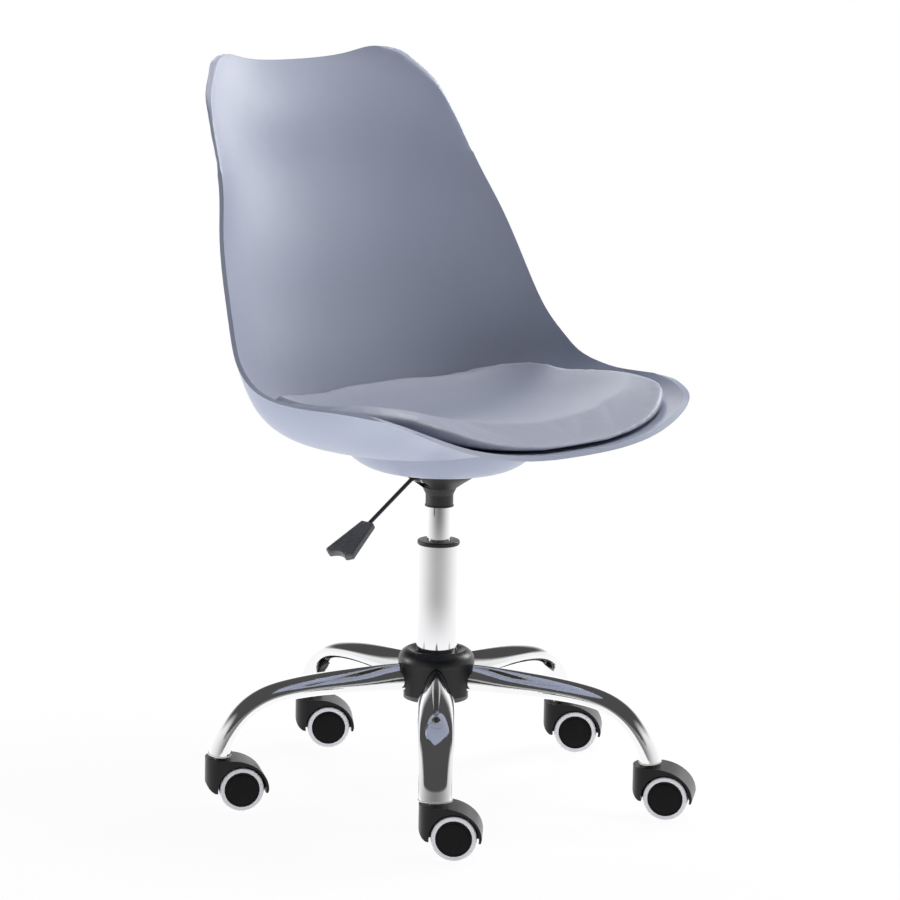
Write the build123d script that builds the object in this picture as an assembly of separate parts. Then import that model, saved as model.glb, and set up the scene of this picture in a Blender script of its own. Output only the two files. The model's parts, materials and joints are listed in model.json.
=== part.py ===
from build123d import *
import os
from collections import namedtuple
from math import cos, hypot, pi, radians, sin

# Swivel shell chair on a gas lift and a five-legged castor base. Millimetres.
# The origin is on the floor under the column, +Z is up and the seat faces -Y.

# ---- clearances
running_gap = 0.05        # radial gap of what turns or slides inside something
fit_gap = 0.02            # gap of a taper or a push fit
cloth_gap = 0.6           # gap under the soft cushion

# ---- castors
wheel_diameter = 50.0
wheel_width = 17.0
wheel_disc_diameter = 40.0
wheel_web = 6.0           # middle wall of the hood, between the two wheels
wheel_side_gap = 0.6
castor_trail = 21.5       # axle behind the stem
castor_circle = 254.0     # radius of the circle of stems
axle_diameter = 8.0
hood_width = 46.0
hood_wall = 3.2
hood_wheel_gap = 2.4
hood_nose_radius = 17.7
hood_nose_bottom = 21.0
hood_flat = 9.0           # flat top, from the stem backwards
stem_diameter = 11.0
stem_foot_diameter = 8.0
stem_foot_length = 13.0
stem_length = 16.0
stem_collar_diameter = 16.0
stem_collar = 3.0
castor_turns = (-47.0, -54.0, -49.0, -41.0, -33.0)    # rest heading of each castor

# ---- legs and hub
leg_count = 5
base_turn = -134.5        # heading of the first leg
leg_end_height = 62.0
leg_root_height = 139.0
leg_root_width = 24.0
# Oval tube at shares of its length: its width, its height and how far its top is pinched.
leg_sections = [(0, leg_root_width, 32.0, 0.34), (0.1, 27.0, 31.0, 0.32),
                (0.2, 34.5, 29.0, 0.26), (0.3, 40.0, 27.0, 0.18), (0.42, 42.0, 24.6, 0.1),
                (0.54, 41.5, 22.8, 0.04), (0.66, 40.5, 21.6, 0), (0.78, 39.0, 21.0, 0),
                (0.9, 37.5, 22.0, 0), (1, 37.0, 24.0, 0)]
# Middle line of a leg, as shares of the castor circle outwards and of the leg's drop.
leg_route = [(0.12, 0), (0.28, 0), (0.43, 0.015), (0.59, 0.045), (0.71, 0.10), (0.81, 0.195),
             (0.89, 0.36), (0.95, 0.57), (0.99, 0.83), (1.008, 1.05)]
leg_wall = 2.0
socket_length = 21.0
socket_rim = 1.5          # rim of the socket under the leg's end
socket_rim_out = 0.6
hub_radius = 37.0
hub_height = 51.0
cover_radius = 43.5
cover_wall = 2.5
cover_drop = 18.5         # cover edge below the middle of the legs
cover_rise = 31.5         # cover crest above the middle of the legs
cover_dome = 16.0         # height of the rounded shoulder
cover_lip = 2.0           # height of the lip at the column
arch_gap = 0.5
cover_gap = 0.1           # between the cover's lip and the column

# ---- column and gas lift
column_radius = 23.4
column_foot_radius = 22.4
column_wall = 2.0
column_length = 178.5
column_floor = 3.5
collar_radius = 24.2
collar_height = 5.0
bush_length = 52.0
lowering_travel = 38.0
raising_travel = 80.0
neck_stop_gap = 1.5       # left between neck and collar when fully down
cylinder_radius = 13.4
cylinder_top_radius = 12.4
cylinder_bore_radius = 11.0
valve_block = 45.0
cylinder_into_socket = 28.5
rod_radius = 5.0
rod_guide_height = 12.0
piston_height = 9.5
bearing_height = 6.0
bearing_radius = 13.0
rod_collar_radius = 9.0
rod_collar_height = 2.5
buffer_gap = 2.0
washer_radius = 10.0
washer_height = 2.0
clip_height = 1.75
clip_radius = 8.0
groove_radius = 4.0
rod_tail = 3.2

# ---- seat mechanism
neck_radius = 15.8
neck_lip = 0.7
neck_length = 13.5
bell_height = 44.5
bell_wall = 2.5
plate_radius = 59.0
plate_thickness = 2.5
plate_recess = 1.0        # plate face above the foot of the boss
screw_circle = 53.0
screw_count = 4
screw_radius = 3.0
screw_depth = 12.0
screw_head_radius = 5.0
screw_head_height = 2.8
button_radius = 4.0
button_length = 14.0
button_stands = 4.85      # button above the top of the cylinder
button_travel = 4.6
lever_lift = 8.0          # degrees that the lever is pulled up
lever_rod_radius = 2.3
lever_pivot_out = 30.0    # pivot pin from the column axis
lever_pivot_down = 8.0    # pivot pin under the plate
lever_bend_out = 44.0
lever_droop = 33.0
lever_rod_length = 92.0   # from the bend to the outer end, inside the grip
lever_bend_radius = 12.0
lever_eye_radius = 6.0
tongue_reach = 2.0        # past the middle of the button
tongue_thickness = 3.5
lever_eye_width = 9.0
pin_radius = 2.0
ear_gap = 0.5
ear_thickness = 2.0
saddle_thickness = 1.6
grip_length = 57.0
grip_hold = 13.0          # rod length inside the grip
grip_notch = 4.0
grip_root_width = 19.0
grip_end_width = 43.0
grip_thickness = 8.5
button_touch_gap = 0.15

# ---- shell and cushion
shell_wall = 5.0
boss_radius = 61.5        # flat foot of the boss
boss_curve_radius = 60.0
boss_curve_turn = 70.3    # degrees of the curve from the foot outwards
boss_height = 30.0
cushion_edge = 0.97       # share of the half width that the cushion's curve reaches
cushion_hem = 9.0         # thickness left at the cushion's edge
cushion_rounding = 7      # power that rounds the cushion off towards its sides
# Plan of the cushion's right half, from the middle of the front to the middle of the rear.
cushion_plan = [(0, -212), (60, -210), (115, -201), (160, -184), (190, -158), (208, -112),
                (218, -55), (221, 0), (211, 48), (184, 80), (140, 99), (75, 110), (0, 113)]

Station = namedtuple("Station", "y z rim_x rim_y rim_z arc fullness pad")
# Sections across the shell's outside from the front edge to the top of the back.
# Heights are above the foot of the boss. arc and fullness shape the section's curve, pad is
# the thickness of the cushion there.
stations = [
    Station(-236, 45, 232, -229, 99, 50, 1.25, 9),
    Station(-215, 47, 232, -208, 99, 50, 1.25, 13),
    Station(-175, 47, 230, -168, 98.5, 55, 1.30, 23),
    Station(-115, 35, 229, -112, 98, 59, 1.34, 32),
    Station(-45, 22, 232, -62, 97.5, 65, 1.41, 38),
    Station(25, 20, 244, -22, 98.5, 69, 1.42, 40),
    Station(79, 29.5, 252, 15, 104, 71, 1.44, 34),
    Station(112, 54, 255, 40, 115, 66.5, 1.39, 20),
    Station(128, 90, 253, 62, 133, 61.5, 1.27, 10),
    Station(144.5, 136.5, 246, 81, 159, 56.5, 1.17, 0),
    Station(163, 191, 235, 106, 213, 51.5, 1.11, 0),
    Station(189, 268, 215, 137, 287, 46.5, 1.07, 0),
    Station(218, 351, 194, 175, 368, 43, 1.05, 0),
    Station(243, 417, 180, 207, 432, 41, 1.05, 0),
    Station(259, 456, 172, 225, 470, 40, 1.05, 0),
]
# Side views of the rim where it rounds the front corners and the top corners.
front_corner = [(-224, 40), (-222, 47), (-211, 63), (-190, 84), (-168, 93), (-146, 98),
                (-120, 101)]
top_corner = [(186, 400), (204, 424), (218, 440), (227, 452), (234, 455.5), (240, 456.5),
              (248, 449), (258, 444)]

# ---- heights worked out from the sizes
axle_height = wheel_diameter / 2
hood_top = leg_end_height - stem_collar
leg_tube_end = leg_end_height + socket_rim
hub_bottom = leg_root_height - hub_height / 2
hub_top = hub_bottom + hub_height
column_top = hub_bottom + column_length
collar_top = column_top + collar_height
floor_top = hub_bottom + column_floor
bearing_top = floor_top + bearing_height
rod_collar_top = bearing_top + running_gap + rod_collar_height
neck_bottom = collar_top + lowering_travel + neck_stop_gap
cylinder_bottom = rod_collar_top + buffer_gap + lowering_travel
cylinder_top = neck_bottom + cylinder_into_socket
plate_bottom = neck_bottom + bell_height
boss_foot = plate_bottom - plate_recess
plate_top = plate_bottom + plate_thickness
button_top = cylinder_top + button_stands
pivot_height = plate_bottom - lever_pivot_down
piston_bottom = cylinder_bottom + raising_travel + rod_guide_height + 1.5
rod_foot = hub_bottom - washer_height - running_gap - clip_height - rod_tail


# ---------------------------------------------------------------- helpers
def turned(*profile):
    """Solid of revolution about Z from a closed (radius, height) outline."""
    return revolve(make_face(Plane.XZ * Polyline(*profile, close=True)), Axis.Z)


def ring(inner, outer, low, high):
    """Plain ring or disc about Z."""
    return turned((inner, low), (outer, low), (outer, high), (inner, high))


def block(x, y, z):
    """Box between pairs of limits."""
    return Pos((x[0] + x[1]) / 2, (y[0] + y[1]) / 2, (z[0] + z[1]) / 2) * Box(
        x[1] - x[0], y[1] - y[0], z[1] - z[0])


def barrel(radius, low, high):
    """Cylinder along Y between two limits."""
    return Plane.XZ.offset(-high) * extrude(Circle(radius), high - low)


def around(count, first=0.0):
    """Headings of equally spaced copies."""
    return [first + 360 * i / count for i in range(count)]


# ---------------------------------------------------------------- shell and cushion
def shell_point(station, share, inset=0.0):
    """Point of a section, share of the half width from the middle, inset from the outside."""
    deep_y, deep_z = station.rim_y - station.y, station.rim_z - station.z
    depth = hypot(deep_y, deep_z)
    turn = radians(station.arc)

    def outside(at):
        across = station.rim_x * sin(turn * at) / sin(turn)
        rise = (1 - cos(turn * abs(at))) / (1 - cos(turn))
        return across, depth * rise ** station.fullness

    step = 0.001
    (x0, d0), (x1, d1) = outside(share - step), outside(share + step)
    across, deep = outside(share)
    chord = hypot(x1 - x0, d1 - d0)
    across -= inset * (d1 - d0) / chord
    deep += inset * (x1 - x0) / chord
    return Vector(across, station.y + deep * deep_y / depth,
                  boss_foot + station.z + deep * deep_z / depth)


section_shares = [-1.0, -0.96, -0.88, -0.74, -0.56, -0.36, -0.16]
section_shares = section_shares + [0.0] + [-share for share in reversed(section_shares)]


def banana(low_points, high_points):
    """Closed face between two curves that run the same way."""
    low, high = Spline(*low_points), Spline(*high_points)
    return make_face([low, Line(low @ 1, high @ 1), high, Line(high @ 0, low @ 0)])


def shell_slab(grown=0.0):
    """Wall of the shell before its corners are cut, with its faces moved out by grown."""
    return loft([banana([shell_point(s, u, -grown) for u in section_shares],
                        [shell_point(s, u, shell_wall + grown) for u in section_shares])
                 for s in stations])


def bowl_space():
    """Everything above the middle of the seat's wall, for trimming the boss."""
    faces = []
    for s in stations[1:9]:
        curve = Spline(*[shell_point(s, u, shell_wall / 2) for u in section_shares])
        faces.append(make_face([curve, Line(curve @ 1, curve @ 0)]))
    return loft(faces)


def corner_cutter(side_view, *outside):
    """Prism along X above a side view of the rim, closed through the points outside."""
    points = [(y, boss_foot + z) for y, z in side_view]
    rim = Spline(*points)
    rest = Polyline(points[-1], *[(y, boss_foot + z) for y, z in outside], points[0])
    return extrude(Plane.YZ * make_face([rim, rest]), 2 * stations[0].rim_x, both=True)


def boss():
    """Moulded round foot under the seat, with the recess for the plate."""
    def flare(turn):
        return (boss_radius + boss_curve_radius * sin(radians(turn)),
                boss_foot + boss_curve_radius * (1 - cos(radians(turn))))

    arc = ThreePointArc(flare(0), flare(boss_curve_turn / 2), flare(boss_curve_turn))
    outer_radius, flare_top = flare(boss_curve_turn)
    top = flare_top + boss_height
    sides = Polyline((outer_radius, flare_top), (outer_radius, top), (0, top),
                     (0, boss_foot), (boss_radius, boss_foot))
    body = revolve(make_face(Plane.XZ * Curve([arc, sides])), Axis.Z)
    recess = ring(0, plate_radius + fit_gap, boss_foot - 1, plate_top)
    return body - recess - bowl_space() - screw_set(screw_radius + fit_gap, screw_depth + 1)


def seat_shell():
    front_y, front_z = front_corner[-1]
    top_y, top_z = top_corner[-1]
    front = corner_cutter(front_corner, (front_y, front_z + 60), (2 * front_y, front_z + 60),
                          (2 * front_y, 0))
    top = corner_cutter(top_corner, (top_y + 60, top_z - 20), (top_y + 60, top_z + 80),
                        (top_corner[0][0] - 40, top_z + 80))
    return shell_slab() - front - top + boss()


def seat_cushion():
    faces = []
    shares = [cushion_edge * i / 6 for i in range(-6, 7)]
    for s in stations:
        if s.pad:
            low = [shell_point(s, u, shell_wall / 2) for u in shares]
            high = [shell_point(s, u, shell_wall + cloth_gap + cushion_hem + (
                s.pad - cushion_hem) * (1 - abs(u / cushion_edge) ** cushion_rounding))
                for u in shares]
            faces.append(banana(low, high))
    return (loft(faces) & cushion_outline()) - shell_slab(cloth_gap)


def cushion_outline():
    """Upright prism that rounds the cushion's plan."""
    right = Spline(*cushion_plan, tangents=[(1, 0), (-1, 0)])
    left = mirror(right, Plane.YZ)
    return Pos(0, 0, boss_foot) * extrude(make_face([right, left]), boss_foot)


# ---------------------------------------------------------------- seat mechanism
def screw_set(radius, depth):
    """Shanks of the plate screws, from the plate's face into the boss."""
    return [Rot(0, 0, a) * Pos(screw_circle, 0, 0) * ring(0, radius, plate_bottom,
                                                          plate_top + depth)
            for a in around(screw_count, 45)]


def seat_plate():
    holes = [Rot(0, 0, a) * Pos(screw_circle, 0, 0) * ring(
        0, screw_radius + fit_gap, plate_bottom - 1, plate_top + 1)
        for a in around(screw_count, 45)]
    return ring(0, plate_radius, plate_bottom, plate_top) - holes


def plate_screws():
    heads = []
    for a in around(screw_count, 45):
        head = ring(0, screw_head_radius, plate_bottom - screw_head_height, plate_bottom)
        head = fillet(head.edges().sort_by(Axis.Z)[0], screw_head_height / 2)
        heads.append(Rot(0, 0, a) * Pos(screw_circle, 0, 0) * head)
    shanks = screw_set(screw_radius, screw_depth)
    return Compound([head + shank for head, shank in zip(heads, shanks)])


def socket_bore_radius(height):
    """Radius of the cylinder's taper at a height above the foot of the neck."""
    slope = (cylinder_radius - cylinder_top_radius) / cylinder_into_socket
    return cylinder_radius - slope * height


def taper_socket():
    """Bell with the taper bore in its neck and a window for the lever."""
    neck_top = neck_bottom + neck_length
    outer = [(neck_radius, neck_bottom + 2), (neck_radius, neck_top), (19.5, neck_top + 8),
             (28, neck_top + 14), (38, neck_top + 20.5), (45.5, neck_top + 27),
             (47, plate_bottom)]
    bore_top = neck_length + 4
    inner = [(47 - bell_wall, plate_bottom), (45 - bell_wall, neck_top + 28.5),
             (36.5, neck_top + 23.5), (26.5, neck_top + 17), (17.5, neck_top + 11),
             (socket_bore_radius(bore_top) + fit_gap, neck_bottom + bore_top),
             (cylinder_radius + fit_gap, neck_bottom)]
    lip = [(neck_radius + neck_lip, neck_bottom), (neck_radius + neck_lip, neck_bottom + 1.5)]
    bell = turned(*inner, *lip, *outer)
    half = lever_eye_width / 2 + ear_gap + ear_thickness + 2
    window = block((-plate_radius, -neck_radius - 1.5), (-half, half),
                   (neck_top + 9, plate_bottom + 1))
    return bell - window


def lever_bracket():
    """Saddle under the plate whose two ears carry the lever's pin."""
    near = lever_eye_width / 2 + ear_gap
    far = near + ear_thickness
    long = (-lever_pivot_out - lever_eye_radius, -lever_pivot_out + lever_eye_radius)
    saddle = block(long, (-far, far), (plate_bottom - saddle_thickness, plate_bottom))
    for low, high in ((-far, -near), (near, far)):
        saddle += Pos(-lever_pivot_out, 0, pivot_height) * barrel(lever_eye_radius, low, high)
        saddle += block(long, (low, high), (pivot_height, plate_bottom))
    return saddle - Pos(-lever_pivot_out, 0, pivot_height) * barrel(pin_radius + fit_gap,
                                                                    -far - 1, far + 1)


def lever_pin():
    half = lever_eye_width / 2 + ear_gap + ear_thickness + 1
    shank = barrel(pin_radius, -half, half)
    head = barrel(pin_radius + 1.5, half - 1, half)
    return Pos(-lever_pivot_out, 0, pivot_height) * (shank + head)


def lever_line():
    """Bent centre line of the lever from beside the button to the grip."""
    bend = Vector(-lever_bend_out, 0, pivot_height)
    outer = bend + lever_rod_length * Vector(-cos(radians(lever_droop)), 0,
                                             -sin(radians(lever_droop)))
    return FilletPolyline((-2 * button_radius, 0, pivot_height), bend, outer,
                          radius=lever_bend_radius)


def lever_rod():
    line = lever_line()
    rod = sweep(Plane(origin=line @ 0, z_dir=line % 0) * Circle(lever_rod_radius), line)
    centre = Pos(-lever_pivot_out, 0, pivot_height)
    eye = barrel(lever_eye_radius, -lever_eye_width / 2, lever_eye_width / 2)
    foot = button_top + button_touch_gap
    tongue = block((-3 * button_radius, tongue_reach), (-button_radius, button_radius),
                   (foot, foot + tongue_thickness))
    hole = barrel(pin_radius + running_gap, -lever_eye_width, lever_eye_width)
    return rod + centre * eye + tongue - centre * hole


def lever_grip():
    """Flat tapered paddle around the end of the rod."""
    line = lever_line()
    start = line @ 1 - (line % 1) * grip_hold
    plane = Plane(origin=start, x_dir=(0, 1, 0), z_dir=Vector(0, 1, 0).cross(line % 1))
    root, end = grip_root_width / 2, grip_end_width / 2
    notch = end * 0.6
    outline = make_face([
        Polyline((notch, grip_length), (end, grip_length * 0.92), (root, 0), (-root, 0),
                 (-end, grip_length * 0.92), (-notch, grip_length)),
        ThreePointArc((-notch, grip_length), (0, grip_length - grip_notch),
                      (notch, grip_length))])
    paddle = extrude(plane * outline, grip_thickness / 2, both=True)
    paddle = fillet(paddle.edges(), grip_thickness * 0.3)
    hole = sweep(Plane(origin=line @ 0, z_dir=line % 0) * Circle(
        lever_rod_radius + fit_gap), line)
    return paddle - hole


# ---------------------------------------------------------------- gas lift
def gas_cylinder():
    top_radius = socket_bore_radius(cylinder_into_socket)
    hole = button_radius + running_gap
    hole_foot = button_top - button_length - button_travel - 1
    bore_top = cylinder_top - valve_block
    return turned((cylinder_bore_radius, cylinder_bottom), (cylinder_radius, cylinder_bottom),
                  (cylinder_radius, neck_bottom), (top_radius, cylinder_top),
                  (hole, cylinder_top), (hole, hole_foot), (0, hole_foot), (0, bore_top),
                  (cylinder_bore_radius, bore_top))


def release_button():
    body = ring(0, button_radius, button_top - button_length, button_top)
    return chamfer(body.edges().sort_by(Axis.Z)[-1], 0.6)


def rod_guide():
    return ring(rod_radius + running_gap, cylinder_bore_radius, cylinder_bottom,
                cylinder_bottom + rod_guide_height)


def piston():
    top = piston_bottom + piston_height
    return ring(rod_radius, cylinder_bore_radius - running_gap, piston_bottom, top)


def piston_rod():
    low_collar = bearing_top + running_gap
    clip_foot = rod_foot + rod_tail
    return turned((0, rod_foot), (rod_radius - 1, rod_foot), (rod_radius, rod_foot + 1),
                  (rod_radius, clip_foot), (groove_radius, clip_foot),
                  (groove_radius, clip_foot + clip_height),
                  (rod_radius, clip_foot + clip_height), (rod_radius, low_collar),
                  (rod_collar_radius, low_collar), (rod_collar_radius, rod_collar_top),
                  (rod_radius, rod_collar_top), (rod_radius, piston_bottom + piston_height),
                  (0, piston_bottom + piston_height))


def column_tube():
    """Outer tube with its taper foot, its floor and the hole for the rod."""
    hole = rod_radius + running_gap
    return turned((hole, hub_bottom), (column_foot_radius, hub_bottom),
                  (column_radius, hub_top), (column_radius, column_top),
                  (column_radius - column_wall, column_top),
                  (column_radius - column_wall, hub_top),
                  (column_foot_radius - column_wall, floor_top), (hole, floor_top))


def column_collar():
    body = ring(cylinder_radius + running_gap, collar_radius, column_top, collar_top)
    return fillet(body.edges().filter_by(GeomType.CIRCLE).sort_by(SortBy.RADIUS)[-2:], 1.5)


def guide_bush():
    return ring(cylinder_radius + running_gap, column_radius - column_wall - fit_gap,
                column_top - bush_length, column_top)


def thrust_bearing():
    """Two races and the ball cage between them."""
    inner = rod_radius + running_gap
    race = bearing_height * 0.3
    lower = ring(inner, bearing_radius, floor_top, floor_top + race)
    upper = ring(inner, bearing_radius, bearing_top - race, bearing_top)
    cage = ring(inner + 1, bearing_radius - 1, floor_top + race, bearing_top - race)
    return Compound([lower.solid(), cage.solid(), upper.solid()])


def bearing_washer():
    return ring(rod_radius + running_gap, washer_radius, hub_bottom - washer_height, hub_bottom)


def retaining_clip():
    foot = rod_foot + rod_tail
    mouth = block((0, clip_radius + 1), (-2.5, 2.5), (foot - 1, foot + clip_height + 1))
    return ring(groove_radius, clip_radius, foot, foot + clip_height) - mouth


# ---------------------------------------------------------------- base
def column_taper_radius(height):
    """Outside of the column at a height within the hub."""
    return column_foot_radius + (column_radius - column_foot_radius) * (
        height - hub_bottom) / hub_height


def hub_core():
    return turned((column_foot_radius + fit_gap, hub_bottom), (hub_radius, hub_bottom),
                  (hub_radius, hub_top), (column_radius + fit_gap, hub_top))


def leg_section(half_width, half_height, pinch):
    """Oval whose upper side is narrower than its lower side."""
    turns = [2 * pi * i / 16 for i in range(16)]
    points = [(half_width * sin(t) * (1 + pinch * cos(t)), -half_height * cos(t))
              for t in turns]
    return make_face(Spline(*points, periodic=True))


def leg_solid(shrink=0.0):
    """Bent oval bar along +X, with its walls drawn in by shrink."""
    drop = leg_root_height - leg_end_height
    route = Spline(*[(castor_circle * out, 0, leg_root_height - drop * down)
                     for out, down in leg_route])
    faces = []
    for share, wide, tall, pinch in leg_sections:
        plane = Plane(origin=route @ share, x_dir=(0, 1, 0), z_dir=route % share)
        faces.append(plane * leg_section(wide / 2 - shrink, tall / 2 - shrink, pinch))
    return loft(faces)


def leg(heading):
    outside = leg_solid()
    tube = outside - leg_solid(leg_wall)
    tube = tube - ring(0, hub_radius, 0, column_top)
    tube = tube - leg_slice(0, leg_tube_end)
    return Rot(0, 0, heading) * tube


def leg_slice(low, high):
    """Box around a leg between two heights."""
    return block((0, 2 * castor_circle), (-castor_circle, castor_circle), (low, high))


def castor_sockets():
    """Plugs in the leg ends that hold the castor stems."""
    plug = leg_solid(leg_wall + fit_gap) & leg_slice(leg_end_height,
                                                     leg_end_height + socket_length)
    plug = plug + (leg_solid(-socket_rim_out) & leg_slice(leg_end_height, leg_tube_end))
    plug = plug - Pos(castor_circle, 0, 0) * ring(
        0, stem_diameter / 2 + fit_gap, 0, leg_end_height + stem_length + 0.2)
    return Compound([Rot(0, 0, a) * plug.solid() for a in around(leg_count, base_turn)])


def hub_cover():
    """Domed cap over the hub, with an arch for each leg."""
    low, high = leg_root_height - cover_drop, leg_root_height + cover_rise
    shoulder = high - cover_dome
    lip = column_radius + cover_gap
    crest = (cover_radius + lip) / 2
    inner = cover_radius - cover_wall
    dome = ThreePointArc((cover_radius, shoulder),
                         (crest + (cover_radius - crest) * cos(radians(45)),
                          shoulder + cover_dome * sin(radians(45))), (crest, high))
    rest = Polyline((crest, high), (crest - 3, high - 0.6), (lip, hub_top + cover_lip),
                    (lip, hub_top), (hub_radius, hub_top), (inner, shoulder + 1), (inner, low),
                    (cover_radius, low), (cover_radius, shoulder))
    cap = revolve(Plane.XZ * make_face([dome, rest]), Axis.Z)
    half = leg_root_width / 2 + 3 * arch_gap
    arch = leg_solid(-arch_gap) + block((0, cover_radius + 5), (-half, half),
                                        (low - 1, leg_root_height))
    return cap - [Rot(0, 0, a) * arch for a in around(leg_count, base_turn)]


# ---------------------------------------------------------------- castors
def hood():
    """Castor hood in its own frame: stem at the origin, wheels trailing along +X."""
    pocket = wheel_diameter / 2 + hood_wheel_gap
    roof = pocket + hood_wall
    tail = castor_trail + roof
    outline = make_face([
        ThreePointArc((-hood_nose_radius / 2, hood_nose_bottom),
                      (-hood_nose_radius * 0.88, hood_nose_bottom + 5.5),
                      (-hood_nose_radius, hood_nose_bottom + 14)),
        Polyline((-hood_nose_radius, hood_nose_bottom + 14), (-hood_nose_radius, hood_top),
                 (hood_flat, hood_top)),
        EllipticalCenterArc((hood_flat, axle_height), tail - hood_flat, hood_top - axle_height,
                            start_angle=0, arc_size=90),
        Polyline((tail, axle_height), (tail - 1, hood_nose_bottom),
                 (-hood_nose_radius / 2, hood_nose_bottom))])
    full = extrude(Plane.XZ * outline, hood_width / 2, both=True)
    nose = Pos(0, 0, hood_nose_bottom - 1) * extrude(
        Ellipse(hood_nose_radius, hood_width / 2)
        + Pos(tail / 2, 0) * Rectangle(tail, hood_width), 2 * hood_top)
    side = full & nose
    wheels = [Pos(castor_trail, 0, axle_height) * barrel(pocket, low, high)
              for low, high in ((-hood_width, -wheel_web / 2), (wheel_web / 2, hood_width))]
    hub = Pos(castor_trail, 0, axle_height) * barrel(axle_diameter, -wheel_web / 2,
                                                     wheel_web / 2)
    bore = ring(0, stem_foot_diameter / 2 + running_gap, hood_top - stem_foot_length - 0.3,
                hood_top + 1)
    axle_hole = Pos(castor_trail, 0, axle_height) * barrel(
        axle_diameter / 2 + fit_gap, -hood_width, hood_width)
    return side - wheels + hub - bore - axle_hole


def stem():
    shoulder = hood_top + running_gap
    return turned((0, hood_top - stem_foot_length), (stem_foot_diameter / 2, hood_top
                  - stem_foot_length), (stem_foot_diameter / 2, shoulder),
                  (stem_collar_diameter / 2, shoulder), (stem_collar_diameter / 2,
                  leg_end_height), (stem_diameter / 2, leg_end_height),
                  (stem_diameter / 2, leg_end_height + stem_length - 1.5),
                  (stem_diameter / 2 - 1.5, leg_end_height + stem_length),
                  (0, leg_end_height + stem_length))


def wheel_limits(side):
    """Inner and outer limit of a wheel across the castor."""
    inner = wheel_web / 2 + wheel_side_gap
    return sorted((side * inner, side * (inner + wheel_width)))


def axle_half():
    return wheel_web / 2 + wheel_side_gap + wheel_width - 3.5


def axle():
    return Pos(castor_trail, 0, axle_height) * barrel(axle_diameter / 2, -axle_half(),
                                                      axle_half())


def wheel_core(side):
    low, high = wheel_limits(side)
    disc = barrel(wheel_disc_diameter / 2, low, high)
    face = high if side > 0 else low
    disc = disc - barrel(wheel_disc_diameter / 2 - 2.5, *sorted((face, face - side * 0.8)))
    reach = sorted((0, side * (axle_half() + running_gap)))
    hole = barrel(axle_diameter / 2 + running_gap, *reach)
    return Pos(castor_trail, 0, axle_height) * (disc - hole)


def tread(side):
    low, high = wheel_limits(side)
    tyre = barrel(wheel_diameter / 2, low, high)
    tyre = fillet(tyre.edges().filter_by(GeomType.CIRCLE), 1.6)
    return Pos(castor_trail, 0, axle_height) * (
        tyre - barrel(wheel_disc_diameter / 2, low - 1, high + 1))


def castor_place(number):
    """Place of a castor: its stem's spot on the circle and its rest heading."""
    heading = radians(around(leg_count, base_turn)[number])
    return Pos(castor_circle * cos(heading), castor_circle * sin(heading), 0) * Rot(
        0, 0, castor_turns[number])


# ---------------------------------------------------------------- parts
def all_parts():
    parts = {
        "seat_shell": seat_shell(), "seat_cushion": seat_cushion(),
        "seat_plate": seat_plate(), "plate_screws": plate_screws(),
        "taper_socket": taper_socket(), "lever_bracket": lever_bracket(),
        "lever_pin": lever_pin(), "lever_rod": lever_rod(), "lever_grip": lever_grip(),
        "gas_cylinder": gas_cylinder(), "release_button": release_button(),
        "rod_guide": rod_guide(), "piston": piston(), "piston_rod": piston_rod(),
        "column_tube": column_tube(), "column_collar": column_collar(),
        "guide_bush": guide_bush(), "thrust_bearing": thrust_bearing(),
        "bearing_washer": bearing_washer(), "retaining_clip": retaining_clip(),
        "hub_core": hub_core(), "hub_cover": hub_cover(),
        "castor_sockets": castor_sockets(),
        "castor_stems": Compound([castor_place(i) * stem().solid()
                                  for i in range(leg_count)]),
    }
    for number, heading in enumerate(around(leg_count, base_turn), start=1):
        parts[f"leg_{number}"] = leg(heading)
        place = castor_place(number - 1)
        parts[f"castor_hood_{number}"] = place * hood()
        parts[f"castor_axle_{number}"] = place * axle()
        for name, side in (("left", -1), ("right", 1)):
            parts[f"wheel_{number}_{name}"] = place * wheel_core(side)
            parts[f"tread_{number}_{name}"] = place * tread(side)
    return parts


os.makedirs("parts", exist_ok=True)
for name, shape in all_parts().items():
    shape.label = name
    export_step(shape, f"parts/{name}.step")
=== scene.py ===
import json
from functools import partial
from math import cos, radians, sin

import bmesh
import bpy
from mathutils import Matrix, Vector
from mathutils.bvhtree import BVHTree
from mathutils.kdtree import KDTree


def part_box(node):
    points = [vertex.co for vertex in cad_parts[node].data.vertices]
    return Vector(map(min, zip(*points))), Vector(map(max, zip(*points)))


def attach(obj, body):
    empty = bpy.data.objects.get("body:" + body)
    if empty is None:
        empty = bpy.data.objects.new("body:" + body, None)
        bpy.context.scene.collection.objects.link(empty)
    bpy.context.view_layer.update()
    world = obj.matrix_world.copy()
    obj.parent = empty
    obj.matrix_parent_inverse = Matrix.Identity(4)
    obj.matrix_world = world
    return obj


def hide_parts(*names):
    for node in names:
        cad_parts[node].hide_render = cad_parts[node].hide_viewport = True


bl_info = {
    "name": "Swivel Shell Chair",
    "version": (1, 0, 0),
    "blender": (4, 5, 0),
    "location": "View3D > Sidebar > Chair",
    "description": "Dresses the chair's solids with finishes, a soft pad and small hardware",
    "category": "Object",
}

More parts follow.
